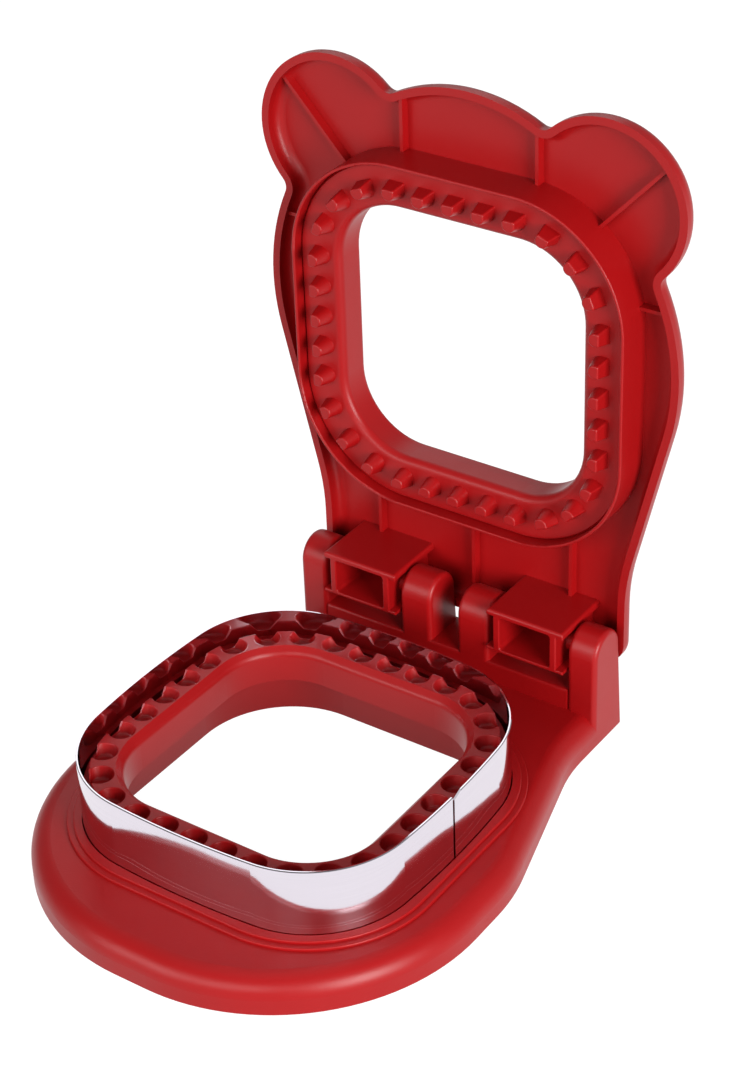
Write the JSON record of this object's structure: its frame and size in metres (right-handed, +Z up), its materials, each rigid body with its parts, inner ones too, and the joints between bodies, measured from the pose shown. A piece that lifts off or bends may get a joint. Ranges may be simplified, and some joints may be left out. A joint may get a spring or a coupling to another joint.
{
  "type": "sandwich cutter and sealer",
  "caption": "Hand press that cuts a slice-sized square from a sandwich and crimps its edge shut, with a hinged lid in the outline of a bear's head.",
  "frame": {"origin": "on the table under the middle of the whole object, with the lid open", "axes": "+Z up, +Y from the cutter towards the hinge, +X to the right when seen from the front"},
  "size_m": [0.1176, 0.147, 0.1633],
  "materials": {
    "red_plastic": "satin moulded plastic with soft highlights",
    "polished_steel": "mirror-polished stainless strip"
  },
  "bodies": {
    "base": {"base_shell": "red_plastic", "crimp_ring": "red_plastic", "cutter_band": "polished_steel"},
    "lid": {"lid_shell": "red_plastic", "press_ring": "red_plastic"}
  },
  "joints": [
    {"name": "lid_hinge", "type": "hinge", "parent": "base", "child": "lid", "pos_m": [0, 0.0607, 0.0257], "axis": [1, 0, 0], "range_deg": [0, 90]}
  ]
}
